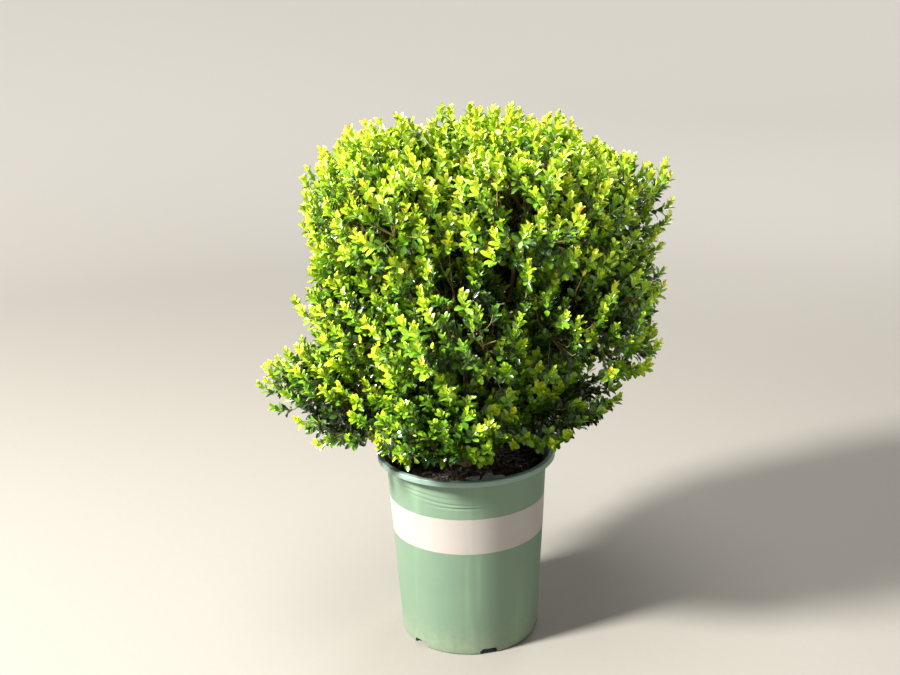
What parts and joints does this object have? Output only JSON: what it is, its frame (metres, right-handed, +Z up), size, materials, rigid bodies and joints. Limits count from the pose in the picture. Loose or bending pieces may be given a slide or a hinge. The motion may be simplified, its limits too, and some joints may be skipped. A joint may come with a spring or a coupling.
{
  "type": "potted shrub",
  "caption": "Young evergreen shrub with a dense, rounded crown of small leaves on a short branching stem, growing in a round tapered nursery pot of bark mix.",
  "frame": {"origin": "centre of the pot's flat underside", "axes": "+Z up the stem, -Y towards the viewer of the picture, +X to that viewer's right"},
  "size_m": [0.6248, 0.574, 0.8314],
  "materials": {
    "pot": "satin green, scuffed",
    "band": "matt cream print",
    "potting_mix": "dark moist bark mix",
    "bark": "rough tan bark",
    "foliage": "glossy green leaves"
  },
  "bodies": {
    "root": {"pot": "pot", "band": "band", "potting_mix": "potting_mix", "stem": "bark", "bough_skirt_1": "bark", "bough_skirt_2": "bark", "bough_skirt_3": "bark", "bough_skirt_4": "bark", "bough_skirt_5": "bark", "bough_waist_1": "bark", "bough_waist_2": "bark", "bough_waist_3": "bark", "bough_waist_4": "bark", "bough_waist_5": "bark", "bough_waist_6": "bark", "bough_shoulder_1": "bark", "bough_shoulder_2": "bark", "bough_shoulder_3": "bark", "bough_shoulder_4": "bark", "bough_shoulder_5": "bark", "bough_top": "bark", "foliage_skirt_1": "foliage", "foliage_skirt_2": "foliage", "foliage_skirt_3": "foliage", "foliage_skirt_4": "foliage", "foliage_skirt_5": "foliage", "foliage_waist_1": "foliage", "foliage_waist_2": "foliage", "foliage_waist_3": "foliage", "foliage_waist_4": "foliage", "foliage_waist_5": "foliage", "foliage_waist_6": "foliage", "foliage_shoulder_1": "foliage", "foliage_shoulder_2": "foliage", "foliage_shoulder_3": "foliage", "foliage_shoulder_4": "foliage", "foliage_shoulder_5": "foliage", "foliage_top": "foliage"}
  },
  "joints": []
}
